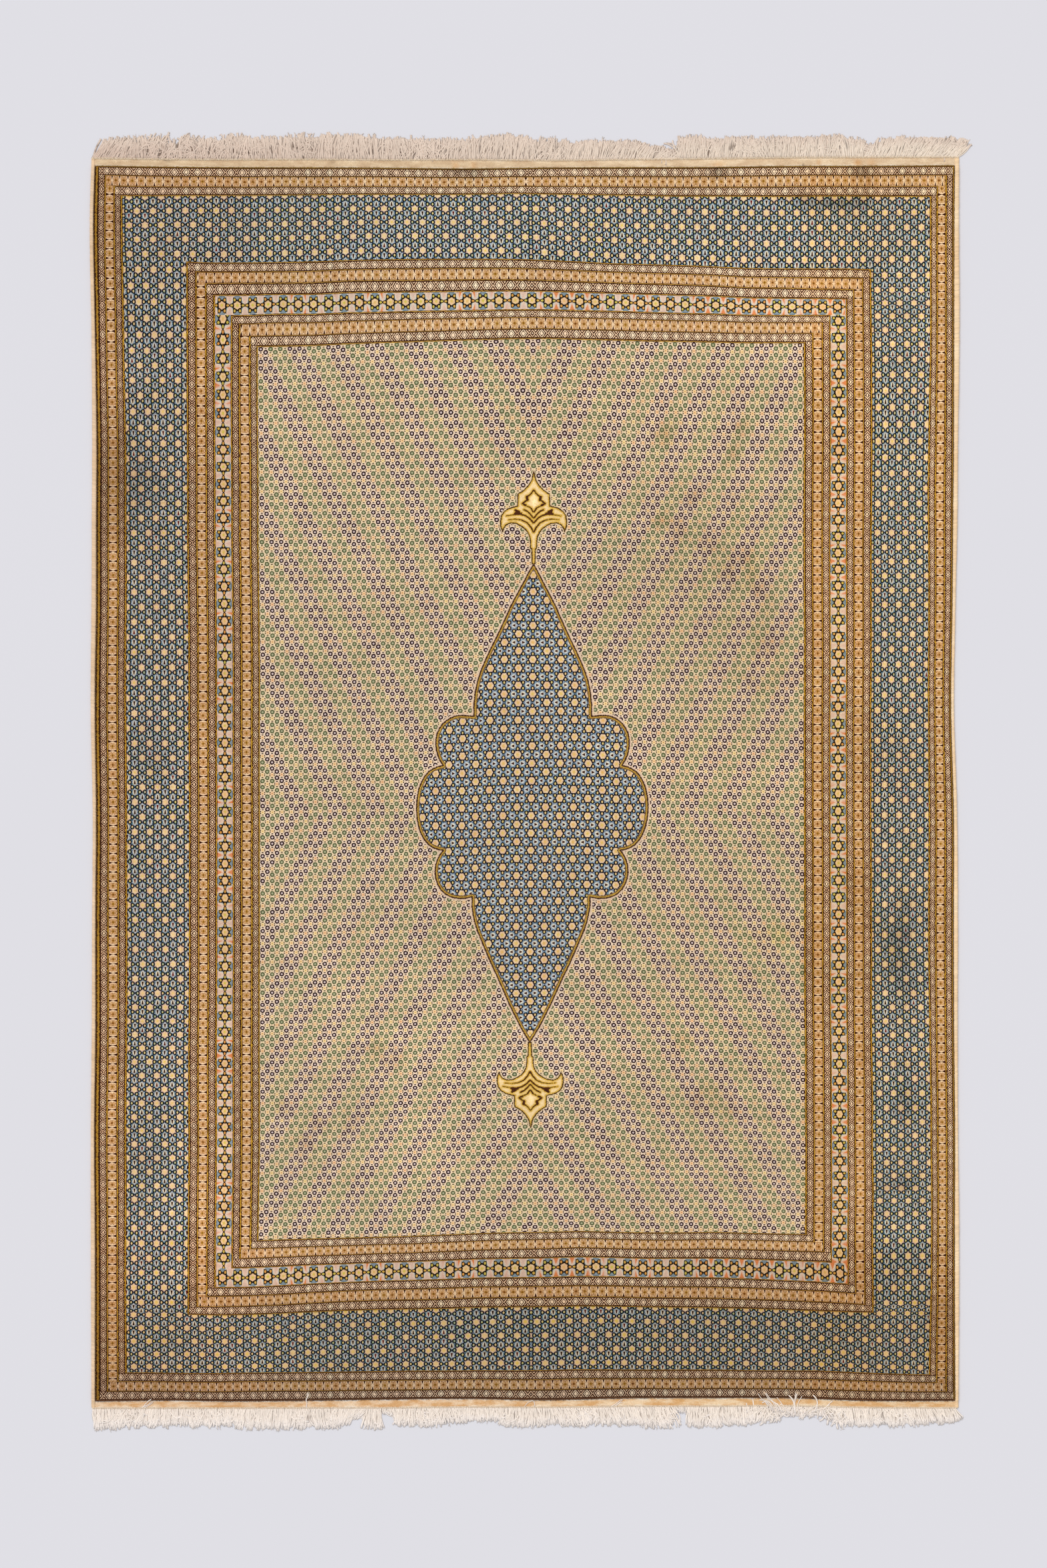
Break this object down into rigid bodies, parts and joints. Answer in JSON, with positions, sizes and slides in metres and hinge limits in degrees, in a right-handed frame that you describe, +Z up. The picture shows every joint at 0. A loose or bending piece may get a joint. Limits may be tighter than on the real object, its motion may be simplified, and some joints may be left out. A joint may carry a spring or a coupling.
{
  "type": "persian rug",
  "caption": "Hand-knotted room rug laid flat, with an allover star lattice field, long ogee medallion, nested borders, flat-woven ends, overcast edges and fringes.",
  "frame": {"origin": "on the underside, at the centre of the woven body, with the rug lying on the plane z = 0", "axes": "+Z up out of the pile, +Y along the warps towards the top end of the picture, +X along the wefts to the right"},
  "size_m": [2.5041, 3.6962, 0.009],
  "materials": {
    "pile": "sheared wool pile, patterned in blue, dark brown, gold and cream",
    "flat_weave_top": "flat-woven cotton, straw coloured",
    "flat_weave_bottom": "flat-woven cotton, straw coloured",
    "overcast_left": "yarn overcast round the edge, straw coloured",
    "overcast_right": "yarn overcast round the edge, straw coloured",
    "fringe_top": "loose twisted cotton warp ends, off white",
    "fringe_bottom": "loose twisted cotton warp ends, off white"
  },
  "bodies": {
    "root": {"pile": "pile", "kilim_top": "flat_weave_top", "kilim_bottom": "flat_weave_bottom", "selvedge_left": "overcast_left", "selvedge_right": "overcast_right", "fringe_top": "fringe_top", "fringe_bottom": "fringe_bottom"}
  },
  "joints": []
}
